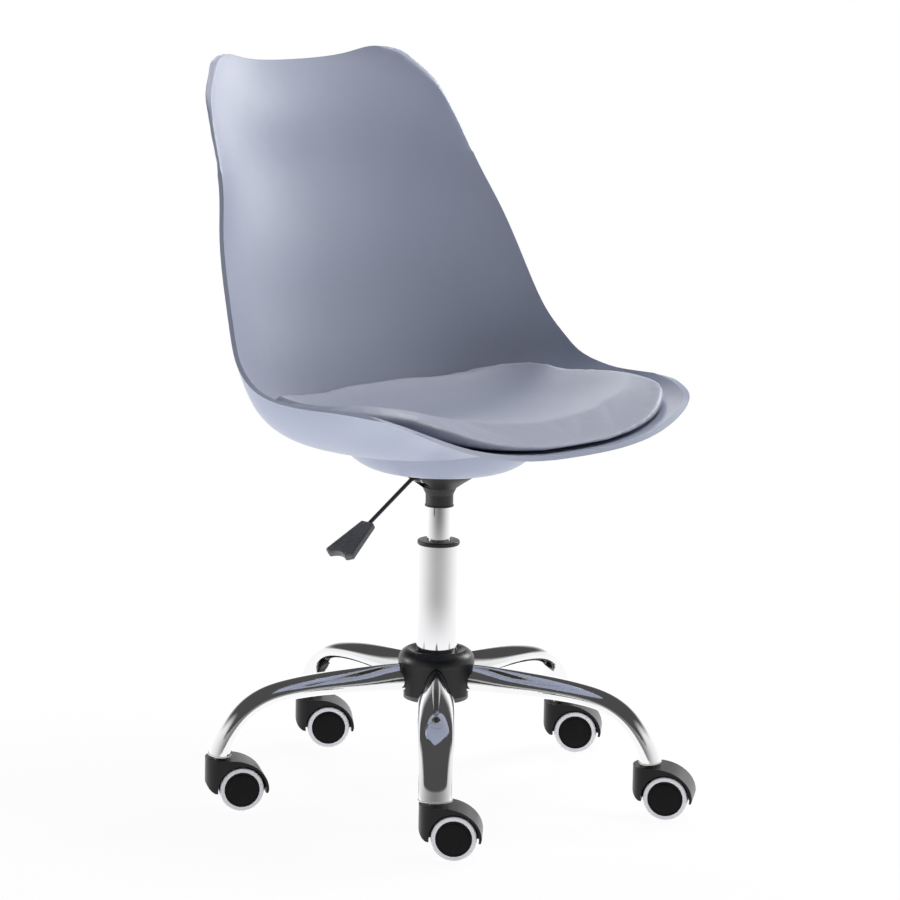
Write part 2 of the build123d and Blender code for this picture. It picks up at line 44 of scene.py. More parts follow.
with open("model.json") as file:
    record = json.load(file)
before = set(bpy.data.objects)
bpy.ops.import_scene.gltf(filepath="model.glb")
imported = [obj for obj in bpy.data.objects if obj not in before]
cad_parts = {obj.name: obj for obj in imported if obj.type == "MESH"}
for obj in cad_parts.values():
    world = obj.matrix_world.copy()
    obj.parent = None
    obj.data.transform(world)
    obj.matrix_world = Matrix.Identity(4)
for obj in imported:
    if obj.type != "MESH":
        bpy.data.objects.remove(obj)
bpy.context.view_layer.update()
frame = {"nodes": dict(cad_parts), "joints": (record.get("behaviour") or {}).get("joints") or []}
nodes = frame["nodes"]
joints = {joint["name"]: joint for joint in frame["joints"]}
leg_numbers = range(1, 6)
sides = ("left", "right")
chromed = [f"leg_{n}" for n in leg_numbers] + ["column_tube", "gas_cylinder"]

# fixed sizes in metres, counts, slopes and the places of the lamps
weld = 0.00002              # points of a solid's mesh that lie closer are one point
crossing_limit = 0.03       # longest line of edges that crosses the rim
rim_splits = 2              # how often long pieces of the rim's line are halved
rim_segments = 3            # facets of the rounded rim
ease = 0.5                  # share of the way that points move between their neighbours
regrow = -0.53              # the same way back, which keeps a closed shape from shrinking
cover_held = -0.25          # the pad's cover is held where its normal points lower
cover_frames = 20           # length of the stuffing in frames
front_fade = 0.08           # depth over which the pad's widening fades out
bowl_reach = 0.010          # the pad is left alone farther from the bowl
bowl_facing = 0.05          # least facing toward the pad of the bowl's inner faces
screw_head_radius = 0.005
screw_turn = radians(45)    # heading of the first plate screw
cap_seat_radius = 0.0178    # part of a wheel's face that its cap covers
floor_radius = 14.0
dome_radius = 9.0
dome_foot = -0.3            # height at which the dome over the floor is cut off
lamp_target = Vector((0, 0, 0.45))
lamp_places = {             # place and diameter of each lamp
    "key": ((3.9, -0.4, 2.3), 1.8),
    "top": ((0.9, -0.5, 3.3), 1.0),
    "back": ((1.5, 1.7, 2.6), 1.0),
    "fill": ((-3.6, -0.4, 1.2), 1.6),
    "rim": ((-2.4, 3.2, 0.9), 1.4),
}
white, black = (1, 1, 1, 1), (0, 0, 0, 1)


# ---------------------------------------------------------------- node helpers
def add_node(tree, kind, settings=None, inputs=None):
    """Adds a node: its settings first, then its sockets' values or links."""
    made = tree.nodes.new(kind)
    for key, value in (settings or {}).items():
        setattr(made, key, value)
    for key, value in (inputs or {}).items():
        value = value.socket if isinstance(value, Wire) else value
        if isinstance(value, bpy.types.NodeSocket):
            tree.links.new(value, made.inputs[key])
        else:
            made.inputs[key].default_value = value
    return made


class Wire:
    """A socket's output that Python arithmetic extends with Math nodes."""

    def __init__(self, finish, socket):
        self.finish = finish
        self.socket = socket

    def maths(self, operation, *values):
        """A Math node on the given values."""
        return self.finish.node("ShaderNodeMath", {"operation": operation},
                                dict(enumerate(values)))

    def __add__(self, other):
        return self.maths("ADD", self, other)

    def __radd__(self, other):
        return self.maths("ADD", other, self)

    def __sub__(self, other):
        return self.maths("SUBTRACT", self, other)

    def __rsub__(self, other):
        return self.maths("SUBTRACT", other, self)

    def __mul__(self, other):
        return self.maths("MULTIPLY", self, other)

    def __rmul__(self, other):
        return self.maths("MULTIPLY", other, self)

    def __pow__(self, other):
        return self.maths("POWER", self, other)

    def __abs__(self):
        return self.maths("ABSOLUTE", self)

    def at_least(self, other):
        """The greater of the two."""
        return self.maths("MAXIMUM", self, other)

    def between(self, low, high):
        """0 below low, 1 above high and a smooth step between them."""
        return self.finish.node("ShaderNodeMapRange", {"interpolation_type": "SMOOTHSTEP"},
                                {"Value": self, "From Min": low, "From Max": high})


class Finish:
    """One material and the nodes that describe its surface."""

    def __init__(self, name):
        self.material = bpy.data.materials.new(name)
        self.material.use_nodes = True
        self.tree = self.material.node_tree
        self.tree.nodes.clear()
        self.place = self.node("ShaderNodeTexCoord", out="Object")

    def node(self, kind, settings=None, inputs=None, out=0):
        """Adds a node and gives the wire from one of its outputs."""
        return Wire(self, add_node(self.tree, kind, settings, inputs).outputs[out])

    def grain(self, scale, detail, stretch=None):
        """Noise from 0 to 1 at a number of grains per metre."""
        place = self.place
        if stretch:
            place = self.node("ShaderNodeMapping", {}, {"Vector": place, "Scale": stretch})
        return self.node("ShaderNodeTexNoise", {}, {
            "Vector": place, "Scale": scale, "Detail": detail, "Roughness": 0.55})

    def pebbles(self, scale):
        """Distance to the nearest cell, for leather grain and moulded texture."""
        return self.node("ShaderNodeTexVoronoi", {"feature": "SMOOTH_F1"}, {
            "Vector": self.place, "Scale": scale, "Smoothness": 0.35})

    def facing(self, place, direction):
        """1 where a place lies in a direction from the origin, -1 where opposite."""
        unit = self.node("ShaderNodeVectorMath", {"operation": "NORMALIZE"}, {0: place})
        return self.node("ShaderNodeVectorMath", {"operation": "DOT_PRODUCT"},
                         {0: unit, 1: direction}, out="Value")

    def blend(self, mask, first, second):
        """Mixes two colours by a mask."""
        return self.node("ShaderNodeMix", {"data_type": "RGBA"},
                         {0: mask, 6: first, 7: second}, out=2)

    def relief(self, height, depth, strength):
        """Normal from a height field, with its depth in metres."""
        return self.node("ShaderNodeBump", {}, {
            "Height": height, "Distance": depth, "Strength": strength})

    def close(self, **sockets):
        """Ends the tree in one surface with the given sockets."""
        names = {key.replace("_", " ").title(): value for key, value in sockets.items()}
        names = {key.replace("Ior", "IOR"): value for key, value in names.items()}
        return self.end(self.node("ShaderNodeBsdfPrincipled", {}, names, out="BSDF"))

    def end(self, shader):
        """Ends the tree in the given shader."""
        add_node(self.tree, "ShaderNodeOutputMaterial", {}, {"Surface": shader})
        return self.material


def linear(colour):
    """Screen colour, 0 to 1, as the linear colour that shaders take."""
    return tuple(c / 12.92 if c <= 0.04045 else ((c + 0.055) / 1.055) ** 2.4
                 for c in colour[:3]) + (1.0,)


def shade(colour, factor):
    """A linear colour made darker or lighter."""
    return tuple(min(1.0, c * factor) for c in colour[:3]) + (1.0,)


# ---------------------------------------------------------------- finishes
def moulded_shell(colour):
    """Satin moulded plastic with a fine spark-eroded texture."""
    f = Finish("moulded_shell")
    cloud = f.grain(3.5, 2.0)
    speck = f.grain(900.0, 2.0)
    tint = f.blend(cloud.between(0.3, 0.7), shade(colour, 0.96), shade(colour, 1.04))
    tint = f.blend(speck.between(0.55, 0.75) * 0.25, tint, shade(colour, 1.12))
    height = f.pebbles(1400.0) * 0.6 + f.grain(2400.0, 2.0) * 0.4
    return f.close(base_color=tint, roughness=0.40 + cloud * 0.08 + speck * 0.05,
                   normal=f.relief(height, 0.00012, 0.55))


def pad_leather(colour):
    """Smooth coated leathercloth: shallow cells, faint pores, a soft sheen."""
    f = Finish("pad_leather")
    cells = f.pebbles(620.0)
    pores = f.grain(3200.0, 2.0)
    wear = f.grain(6.0, 3.0)
    crease = cells.between(0.05, 0.55)
    tint = f.blend(crease, shade(colour, 0.88), colour)
    tint = f.blend(wear.between(0.4, 0.75) * 0.5, tint, shade(colour, 1.07))
    height = crease * 0.8 + pores * 0.2
    return f.close(base_color=tint, roughness=0.44 + wear * 0.10 - crease * 0.04,
                   normal=f.relief(height, 0.00018, 0.6))


def mirror_chrome(colour, roughness):
    """Bright plating with faint polishing haze."""
    f = Finish("mirror_chrome")
    haze = f.grain(22.0, 4.0)
    swell = f.grain(90.0, 2.0)
    tint = f.blend(haze.between(0.35, 0.7), shade(colour, 0.97), colour)
    return f.close(base_color=tint, metallic=1.0, roughness=roughness + haze * 0.035,
                   normal=f.relief(swell, 0.000004, 0.3))


def turned_steel(name, colour, roughness):
    """Ground or drawn steel with fine rings around the upright axis."""
    f = Finish(name)
    rings = f.grain(60.0, 3.0, stretch=(1.0, 1.0, 40.0))
    stain = f.grain(35.0, 3.0)
    tint = f.blend(rings, shade(colour, 0.88), shade(colour, 1.08))
    return f.close(base_color=tint, metallic=1.0,
                   roughness=roughness + rings * 0.14 + stain * 0.05,
                   normal=f.relief(rings, 0.00003, 0.4))


def plated_steel(name, colour, roughness):
    """Zinc plating with its crystalline clouds."""
    f = Finish(name)
    flakes = f.pebbles(160.0)
    cloud = f.grain(70.0, 4.0)
    tint = f.blend(flakes.between(0.1, 0.7), shade(colour, 0.86), shade(colour, 1.06))
    return f.close(base_color=tint, metallic=1.0,
                   roughness=roughness + cloud * 0.18,
                   normal=f.relief(flakes * 0.5 + cloud * 0.5, 0.00004, 0.4))


def powder_coat(name, colour, roughness):
    """Sprayed coat with orange peel."""
    f = Finish(name)
    peel = f.grain(700.0, 2.0)
    dust = f.grain(40.0, 4.0)
    tint = f.blend(dust.between(0.5, 0.8) * 0.3, colour, shade(colour, 1.8))
    return f.close(base_color=tint, roughness=roughness + dust * 0.10,
                   normal=f.relief(peel, 0.0001, 0.5))


def dark_moulding(name, colour, roughness, texture, shine):
    """Black or grey moulded plastic; texture is the depth of its grain in metres."""
    f = Finish(name)
    cells = f.pebbles(1100.0)
    cloud = f.grain(18.0, 3.0)
    tint = f.blend(cloud.between(0.35, 0.7), shade(colour, 0.85), shade(colour, 1.25))
    return f.close(base_color=tint, roughness=roughness + cloud * 0.10 + cells * 0.04,
                   specular_ior_level=shine,
                   normal=f.relief(cells * 0.7 + f.grain(2600.0, 2.0) * 0.3, texture, 0.6))


def soft_tread(colour):
    """Pale polyurethane with scuffs from rolling."""
    f = Finish("soft_tread")
    scuff = f.grain(120.0, 4.0, stretch=(1.0, 1.0, 3.0))
    dirt = f.grain(30.0, 4.0)
    tint = f.blend(dirt.between(0.45, 0.8) * 0.35, colour, shade(colour, 0.82))
    return f.close(base_color=tint, roughness=0.46 + scuff * 0.14,
                   normal=f.relief(scuff, 0.00006, 0.4))


def natural_nylon(colour):
    """Milky nylon with a waxy surface."""
    f = Finish("natural_nylon")
    cloud = f.grain(50.0, 3.0)
    tint = f.blend(cloud, shade(colour, 0.92), colour)
    return f.close(base_color=tint, roughness=0.38 + cloud * 0.1,
                   normal=f.relief(f.grain(1500.0, 2.0), 0.00005, 0.4))


def dress(obj, material):
    """Gives the whole object one material."""
    obj.data.materials.clear()
    obj.data.materials.append(material)


def dress_nodes(names, material):
    """Gives each named solid the same material."""
    for name in names:
        dress(nodes[name], material)


# ---------------------------------------------------------------- mesh helpers
def show(name, mesh):
    """Links a mesh as an object that stands at the origin."""
    obj = bpy.data.objects.new(name, mesh)
    bpy.context.scene.collection.objects.link(obj)
    return obj


def settle(obj, name):
    """Applies every modifier and returns a plain object in its place."""
    tree = bpy.context.evaluated_depsgraph_get()
    mesh = bpy.data.meshes.new_from_object(obj.evaluated_get(tree))
    mesh.name = name
    bpy.data.objects.remove(obj)
    return show(name, mesh)


def opened(mesh):
    """A mesh opened for editing."""
    work = bmesh.new()
    work.from_mesh(mesh)
    return work


def closed(work, mesh):
    """Writes the edited work into a mesh."""
    work.to_mesh(mesh)
    work.free()
    return mesh


def merged_copy(node, name):
    """A welded copy of a solid's mesh."""
    mesh = nodes[node].data.copy()
    mesh.name = name
    work = opened(mesh)
    bmesh.ops.remove_doubles(work, verts=work.verts, dist=weld)
    return show(name, closed(work, mesh))


def relax(work, vertices, rounds, *factors):
    """Evens points among their neighbours, in each round by every factor in turn."""
    for _ in range(rounds):
        for factor in factors:
            bmesh.ops.smooth_vert(work, verts=vertices, factor=factor, use_axis_x=True,
                                  use_axis_y=True, use_axis_z=True)


def point_finder(places):
    """Search tree over places, each numbered as it comes."""
    finder = KDTree(len(places))
    for number, place in enumerate(places):
        finder.insert(place, number)
    finder.balance()
    return finder


def smooth(obj):
    """Shades every face of an object smooth."""
    for face in obj.data.polygons:
        face.use_smooth = True


def tree_group(name, **sizes):
    """Geometry node group with named sizes; gives the group and a node maker."""
    group = bpy.data.node_groups.new(name, "GeometryNodeTree")
    group.interface.new_socket("Geometry", in_out="INPUT", socket_type="NodeSocketGeometry")
    for label, value in sizes.items():
        kind = "NodeSocketInt" if isinstance(value, int) else "NodeSocketFloat"
        socket = group.interface.new_socket(label, in_out="INPUT", socket_type=kind)
        socket.default_value = value
    group.interface.new_socket("Geometry", in_out="OUTPUT",
                               socket_type="NodeSocketGeometry")
    return group, partial(add_node, group)


def finish_group(add, geometry, material):
    """Ends a node group: real geometry with its material."""
    real = add("GeometryNodeRealizeInstances", {}, {"Geometry": geometry})
    paint = add("GeometryNodeSetMaterial", {}, {
        "Geometry": real.outputs["Geometry"], "Material": material})
    add("NodeGroupOutput", {}, {"Geometry": paint.outputs["Geometry"]})


def grow(name, group, material, **sizes):
    """Runs a node group on an empty object and returns the plain mesh it makes."""
    host = show(name + "_host", bpy.data.meshes.new(name + "_host"))
    modifier = host.modifiers.new(group.name, "NODES")
    modifier.node_group = group
    labels = {item.name: item.identifier for item in group.interface.items_tree
              if item.item_type == "SOCKET" and item.in_out == "INPUT"}
    for label, value in sizes.items():
        modifier[labels[label]] = value
    made = settle(host, name)
    dress(made, material)
    return made


# ---------------------------------------------------------------- settings
class ChairFinish(bpy.types.PropertyGroup):
    """Colours and gloss of the chair."""

    shell_colour: bpy.props.FloatVectorProperty(
        name="Shell", description="Colour of the moulded shell", subtype="COLOR_GAMMA",
        size=3, min=0, max=1, default=(0.562, 0.588, 0.665))
    pad_colour: bpy.props.FloatVectorProperty(
        name="Pad", description="Colour of the pad's cover", subtype="COLOR_GAMMA",
        size=3, min=0, max=1, default=(0.570, 0.590, 0.657))
    tread_colour: bpy.props.FloatVectorProperty(
        name="Treads", description="Colour of the castor treads", subtype="COLOR_GAMMA",
        size=3, min=0, max=1, default=(0.83, 0.83, 0.85))
    black_colour: bpy.props.FloatVectorProperty(
        name="Black parts", description="Colour of hub cover, collar and hoods",
        subtype="COLOR_GAMMA", size=3, min=0, max=1, default=(0.075, 0.075, 0.08))
    grip_colour: bpy.props.FloatVectorProperty(
        name="Grip", description="Colour of the lever's paddle", subtype="COLOR_GAMMA",
        size=3, min=0, max=1, default=(0.34, 0.345, 0.35))
    chrome_roughness: bpy.props.FloatProperty(
        name="Chrome haze", description="Roughness of the plating", min=0, max=1,
        default=0.045)


class ShellShape(bpy.types.PropertyGroup):
    """How the shell's rim is softened."""

    rim_round: bpy.props.FloatProperty(
        name="Rim rounding", description="How far the rim's edges are rounded",
        unit="LENGTH", default=0.0018)
    rim_step: bpy.props.FloatProperty(
        name="Rim step", description="Longest piece of the rim's line", unit="LENGTH",
        default=0.004)
    sharp: bpy.props.FloatProperty(
        name="Sharp", description="Turn from which an edge counts as sharp",
        subtype="ANGLE", default=radians(27))
    boss_reach: bpy.props.FloatProperty(
        name="Boss reach", description="Radius within which edges stay crisp",
        unit="LENGTH", default=0.15)
    ear_level: bpy.props.FloatProperty(
        name="Ear level", description="Height above which the rim's corners are evened",
        unit="LENGTH", default=0.7)
    ear_span: bpy.props.FloatProperty(
        name="Ear span", description="How far from a corner the rim's line is evened",
        unit="LENGTH", default=0.075)
    ear_reach: bpy.props.FloatProperty(
        name="Ear reach", description="How far from the line the surface follows it",
        unit="LENGTH", default=0.04)
    ear_rounds: bpy.props.IntProperty(
        name="Ear rounds", description="How often the corners' line is evened", default=220)
    melt_reach: bpy.props.FloatProperty(
        name="Melt reach", description="Width of the rim that is softened at the ears",
        unit="LENGTH", default=0.0055)
    melt_rounds: bpy.props.IntProperty(
        name="Melt rounds", description="How often the ears' rim is softened", default=10)


class PadShape(bpy.types.PropertyGroup):
    """How the seat pad is stuffed."""

    voxel: bpy.props.FloatProperty(
        name="Cell", description="Size of the cloth's cells", unit="LENGTH", default=0.004)
    rounding: bpy.props.IntProperty(
        name="Rounding", description="How often the pad's edge is rounded", default=36)
    draw_in: bpy.props.FloatProperty(
        name="Drawn in", description="How much smaller the cover starts", unit="LENGTH",
        default=0.0015)
    widen: bpy.props.FloatProperty(
        name="Widened", description="How far the pad's sides and front reach out",
        unit="LENGTH", default=0.006)
    pressure: bpy.props.FloatProperty(
        name="Stuffing", description="Pressure of the foam on the cover", default=4.0)
    swell_limit: bpy.props.FloatProperty(
        name="Most swell", description="Furthest that the cover may move", unit="LENGTH",
        default=0.005)
    clearance: bpy.props.FloatProperty(
        name="Clearance", description="Gap kept between pad and shell", unit="LENGTH",
        default=0.0008)


class StudioSetup(bpy.types.PropertyGroup):
    """Camera, lamps and floor."""

    distance: bpy.props.FloatProperty(
        name="Distance", description="Camera to the aimed point", unit="LENGTH",
        default=4.2868)
    heading: bpy.props.FloatProperty(
        name="Heading", description="Camera's heading round the chair", subtype="ANGLE",
        default=radians(-45))
    tilt: bpy.props.FloatProperty(
        name="Tilt", description="Camera's height as an angle", subtype="ANGLE",
        default=radians(10.56))
    roll: bpy.props.FloatProperty(
        name="Roll", description="Camera's turn about its own axis", subtype="ANGLE",
        default=radians(1.113))
    lens: bpy.props.FloatProperty(
        name="Lens", description="Focal length in millimetres", default=151.41)
    aim: bpy.props.FloatVectorProperty(
        name="Aim", description="Point in the middle of the view", subtype="XYZ", size=3,
        default=(0.007746, -0.007746, 0.40084))
    key_power: bpy.props.FloatProperty(
        name="Key lamp", description="Power of the lamp on the right", unit="POWER",
        default=112.0)
    top_power: bpy.props.FloatProperty(
        name="Top lamp", description="Power of the lamp overhead", unit="POWER",
        default=60.0)
    fill_power: bpy.props.FloatProperty(
        name="Fill lamp", description="Power of the lamp on the left", unit="POWER",
        default=4.0)
    rim_power: bpy.props.FloatProperty(
        name="Rim lamp", description="Power of the lamp behind", unit="POWER", default=60.0)
    back_power: bpy.props.FloatProperty(
        name="Back lamp", description="Power of the lamp high behind", unit="POWER",
        default=30.0)
    ambient: bpy.props.FloatProperty(
        name="Ambient", description="Strength of the surrounding light", default=0.05)
    bounce: bpy.props.FloatProperty(
        name="Bounce", description="Light that the floor sends up", default=2.6)
    gleam: bpy.props.FloatProperty(
        name="Gleam", description="Brightness of what bright metal mirrors", default=1.4)
    floor_white: bpy.props.FloatProperty(
        name="Floor white", description="Share of plain white on the floor", min=0, max=1,
        default=0.95)


# ---------------------------------------------------------------- operators
class CHAIR_OT_shell(bpy.types.Operator):
    """Make the moulded shell with its softened rim"""

    bl_idname = "chair.shell"
    bl_label = "Shell"

    def execute(self, context):
        shape = context.scene.chair_shell
        shell = merged_copy("seat_shell", "shell_moulding")
        work = opened(shell.data)
        corners = self.mark_corners(work, shape)
        for _ in range(rim_splits):
            long = [e for e in self.rim(work, shape) if e.calc_length() > shape.rim_step]
            bmesh.ops.subdivide_edges(work, edges=long, cuts=1)
        bmesh.ops.triangulate(work, faces=[f for f in work.faces if len(f.verts) > 3])
        line = self.soften_ears(work, shape, corners)
        bmesh.ops.bevel(work, geom=self.rim(work, shape), offset=shape.rim_round,
                        segments=rim_segments, profile=0.5, affect="EDGES",
                        clamp_overlap=True)
        self.melt(work, shape, line)
        for edge in work.edges:
            edge.smooth = not (edge.is_manifold and edge.calc_face_angle() > shape.sharp)
        closed(work, shell.data)
        smooth(shell)
        even_shade = shell.modifiers.new("Even shade", "WEIGHTED_NORMAL")
        even_shade.keep_sharp = True
        shell = settle(shell, "shell_moulding")
        dress(shell, moulded_shell(linear(context.scene.chair_finish.shell_colour)))
        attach(shell, "seat")
        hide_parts("seat_shell")
        return {"FINISHED"}

    def rim(self, work, shape):
        """Sharp edges of the moulding, without those of the boss and across the rim."""
        across = work.edges.layers.int["across_rim"]
        return [e for e in work.edges if not e[across] and e.is_manifold
                and e.calc_face_angle() > shape.sharp
                and min(v.co.xy.length for v in e.verts) > shape.boss_reach]

    def mark_corners(self, work, shape):
        """Marks the edges that cross the rim and gives the corners that they join."""
        across = work.edges.layers.int.new("across_rim")
        meeting = {}
        for edge in self.rim(work, shape):
            for vertex in edge.verts:
                meeting.setdefault(vertex, []).append(edge)

        def short(path):
            return sum(e.calc_length() for e in path) < crossing_limit

        places = []
        for vertex in [v for v, edges in meeting.items() if len(edges) > 2]:
            for first in meeting[vertex]:
                path, end = [first], first.other_vert(vertex)
                while len(meeting[end]) == 2 and short(path):
                    path.append(next(e for e in meeting[end] if e is not path[-1]))
                    end = path[-1].other_vert(end)
                if len(meeting[end]) > 2 and short(path):
                    for edge in path:
                        edge[across] = 1
                    if vertex.co.z > shape.ear_level:
                        places.append(vertex.co.copy())
        return places

    def soften_ears(self, work, shape, corners):
        """Rounds the rim's line at its corners, with the surface near it; gives the line."""
        links = {}
        for edge in self.rim(work, shape):
            first, second = edge.verts
            links.setdefault(first, []).append(second)
            links.setdefault(second, []).append(first)
        share = {v: max((1.0 - (v.co - place).length / shape.ear_span for place in corners),
                        default=0.0) for v in links}
        line = [v for v, near in links.items() if share[v] > 0 and len(near) == 2]
        before = [v.co.copy() for v in line]
        for _ in range(shape.ear_rounds):
            places = []
            for vertex in line:
                ends = [near.co for near in links[vertex]]
                reach = [max((end - vertex.co).length, 1e-5) for end in ends]
                middle = (ends[0] * reach[1] + ends[1] * reach[0]) / (reach[0] + reach[1])
                places.append(vertex.co + (middle - vertex.co) * ease * share[vertex])
            for vertex, place in zip(line, places):
                vertex.co = place
        after = [v.co.copy() for v in line]
        finder = point_finder(before)
        for vertex in set(work.verts).difference(line):
            pull, weights = Vector(), 0.0
            for _, number, distance in finder.find_range(vertex.co, shape.ear_reach):
                weight = (1.0 - distance / shape.ear_reach) ** 2
                pull += (after[number] - before[number]) * weight
                weights += weight
            if weights:
                nearest = finder.find(vertex.co)[2]
                vertex.co += pull / weights * (1.0 - nearest / shape.ear_reach) ** 2
        return after

    def melt(self, work, shape, line):
        """Lets the rounded rim run softly round the ears."""
        finder = point_finder(line)
        near = [v for v in work.verts if finder.find_range(v.co, shape.melt_reach)]
        relax(work, near, shape.melt_rounds, ease)


class CHAIR_OT_pad(bpy.types.Operator):
    """Make the stuffed seat pad from its solid"""

    bl_idname = "chair.pad"
    bl_label = "Seat pad"

    def execute(self, context):
        shape = context.scene.chair_pad
        pad = merged_copy("seat_cushion", "seat_pad")
        pad = self.cells(pad, shape.voxel / 2)
        self.relaxed(pad, shape.rounding, ease)
        pad = self.cells(pad, shape.voxel)
        self.relaxed(pad, 2, ease)
        start = [v.co.copy() for v in pad.data.vertices]
        normals = [v.normal.copy() for v in pad.data.vertices]
        for vertex, normal in zip(pad.data.vertices, normals):
            outward = Vector((normal.x, normal.y, 0.0))
            front = 1.0 - min(1.0, max(0.0, vertex.co.y / front_fade))
            vertex.co += outward * shape.widen * front - normal * shape.draw_in
        self.stuff(context, pad, shape, normals)
        pad = settle(pad, "seat_pad")
        self.limit(pad, start, shape)
        self.relaxed(pad, 3, ease, regrow)
        self.clear_shell(pad, shape.clearance)
        soften = pad.modifiers.new("Soften", "SUBSURF")
        soften.levels = soften.render_levels = 1
        pad = settle(pad, "seat_pad")
        smooth(pad)
        dress(pad, pad_leather(linear(context.scene.chair_finish.pad_colour)))
        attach(pad, "seat")
        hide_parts("seat_cushion")
        return {"FINISHED"}

    def cells(self, pad, size):
        """Rebuilds the pad from even cells."""
        remesh = pad.modifiers.new("Cells", "REMESH")
        remesh.mode = "VOXEL"
        remesh.voxel_size = size
        return settle(pad, "seat_pad")

    def stuff(self, context, pad, shape, normals):
        """Blows the cover up from inside, with its underside held."""
        held = pad.vertex_groups.new(name="glued")
        under = [i for i, normal in enumerate(normals) if normal.z < cover_held]
        held.add(under, 1.0, "REPLACE")
        cloth = pad.modifiers.new("Cover", "CLOTH")
        cloth.settings.vertex_group_mass = held.name
        cloth.settings.use_pressure = True
        cloth.settings.uniform_pressure_force = shape.pressure
        cloth.settings.effector_weights.gravity = 0
        cloth.settings.quality = 5
        for number in range(1, cover_frames + 1):
            context.scene.frame_set(number)

    def limit(self, pad, start, shape):
        """Keeps each point of the cover within reach of where it started."""
        for vertex, before in zip(pad.data.vertices, start):
            move = vertex.co - before
            if move.length > shape.swell_limit:
                vertex.co = before + move.normalized() * shape.swell_limit

    def relaxed(self, pad, rounds, *factors):
        """Rounds the pad, in each round by every factor in turn."""
        work = opened(pad.data)
        relax(work, work.verts, rounds, *factors)
        closed(work, pad.data)

    def clear_shell(self, pad, clearance):
        """Moves points that come too near the bowl's surface back to their clearance."""
        shell = merged_copy("seat_shell", "shell_guide")
        middle = sum((v.co for v in pad.data.vertices), Vector()) / len(pad.data.vertices)
        inner = [p.vertices for p in shell.data.polygons
                 if p.normal.dot((middle - p.center).normalized()) > bowl_facing]
        bowl = BVHTree.FromPolygons([v.co for v in shell.data.vertices], inner)
        for vertex in pad.data.vertices:
            near, normal, _, distance = bowl.find_nearest(vertex.co)
            side = (vertex.co - near).dot(normal)
            if side < clearance and distance < bowl_reach:
                vertex.co += normal * (clearance - side)
        bpy.data.objects.remove(shell)


class CHAIR_OT_metal(bpy.types.Operator):
    """Finish the chromed, plated, ground and painted steel"""

    bl_idname = "chair.metal"
    bl_label = "Metal parts"

    def execute(self, context):
        chrome_haze = context.scene.chair_finish.chrome_roughness
        dress_nodes(chromed, mirror_chrome((0.68, 0.68, 0.69, 1.0), chrome_haze))
        axles = [f"castor_axle_{n}" for n in leg_numbers]
        for make, name, colour, roughness, parts in (
                (turned_steel, "ground_steel", (0.72, 0.72, 0.73), 0.18,
                 ["piston", "piston_rod", "thrust_bearing"] + axles),
                (plated_steel, "zinc_plate", (0.74, 0.74, 0.72), 0.30,
                 ["seat_plate", "lever_bracket", "bearing_washer", "castor_stems"]),
                (plated_steel, "dark_plate", (0.52, 0.52, 0.52), 0.28,
                 ["plate_screws", "lever_pin", "release_button"]),
                (turned_steel, "spring_steel", (0.38, 0.38, 0.40), 0.34,
                 ["retaining_clip"]),
                (powder_coat, "black_coat", (0.06, 0.06, 0.065), 0.46,
                 ["taper_socket", "lever_rod"]),
                (powder_coat, "hub_paint", (0.28, 0.28, 0.29), 0.5, ["hub_core"])):
            dress_nodes(parts, make(name, linear(colour), roughness))
        return {"FINISHED"}


class CHAIR_OT_plastic(bpy.types.Operator):
    """Finish the hub cover, collar, grip, hoods, wheels and treads"""

    bl_idname = "chair.plastic"
    bl_label = "Plastic parts"

    def execute(self, context):
        finish = context.scene.chair_finish
        dark = linear(finish.black_colour)
        wheels = [f"{n}_{side}" for n in leg_numbers for side in sides]
        for name, colour, roughness, texture, shine, parts in (
                ("satin_black", dark, 0.30, 0.00006, 0.34,
                 ["hub_cover", "column_collar", "rod_guide"]),
                ("gloss_black", dark, 0.26, 0.00004, 0.17,
                 [f"castor_hood_{n}" for n in leg_numbers]),
                ("wheel_black", shade(dark, 0.9), 0.38, 0.00008, 0.08,
                 [f"wheel_{wheel}" for wheel in wheels]),
                ("grip_grey", linear(finish.grip_colour), 0.40, 0.00012, 0.3,
                 ["lever_grip"])):
            dress_nodes(parts, dark_moulding(name, colour, roughness, texture, shine))
        dress_nodes([f"tread_{wheel}" for wheel in wheels],
                    soft_tread(linear(finish.tread_colour)))
        dress_nodes(["guide_bush", "castor_sockets"],
                    natural_nylon(linear((0.88, 0.87, 0.84))))
        return {"FINISHED"}


class CHAIR_OT_screw_drives(bpy.types.Operator):
    """Add thin near-black hexagons to the heads of the plate screws, painted shade for their
    socket recesses
    """

    bl_idname = "chair.screw_drives"
    bl_label = "Screw drives"

    def execute(self, context):
        low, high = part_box("plate_screws")
        circle = (high[0] - low[0] - 2 * screw_head_radius) / 2 / cos(screw_turn)
        group, add = tree_group("screw_drives", Screws=4, Circle=circle, Recess=0.0022,
                                Depth=0.0003, Level=0.0)
        given = add("NodeGroupInput").outputs
        ring = add("GeometryNodeMeshCircle", {}, {"Vertices": given["Screws"],
                                                  "Radius": given["Circle"]})
        turn = add("GeometryNodeTransform", {}, {
            "Geometry": ring.outputs["Mesh"], "Rotation": (0.0, 0.0, screw_turn)})
        drive = add("GeometryNodeMeshCylinder", {}, {
            "Vertices": 6, "Radius": given["Recess"], "Depth": given["Depth"]})
        lift = add("ShaderNodeCombineXYZ", {}, {"Z": given["Level"]})
        place = add("GeometryNodeInstanceOnPoints", {}, {
            "Points": turn.outputs["Geometry"], "Instance": drive.outputs["Mesh"]})
        move = add("GeometryNodeTranslateInstances", {}, {
            "Instances": place.outputs["Instances"], "Translation": lift.outputs["Vector"]})
        # the hexagons are solid discs, not holes; their near-black colour is painted shade for
        # the inside of each socket
        dark = powder_coat("screw_recess", linear((0.08, 0.08, 0.08)), 0.6)
        finish_group(add, move.outputs["Instances"], dark)
        drives = grow("screw_drives", group, dark, Level=low[2])
        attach(drives, "seat")
        return {"FINISHED"}


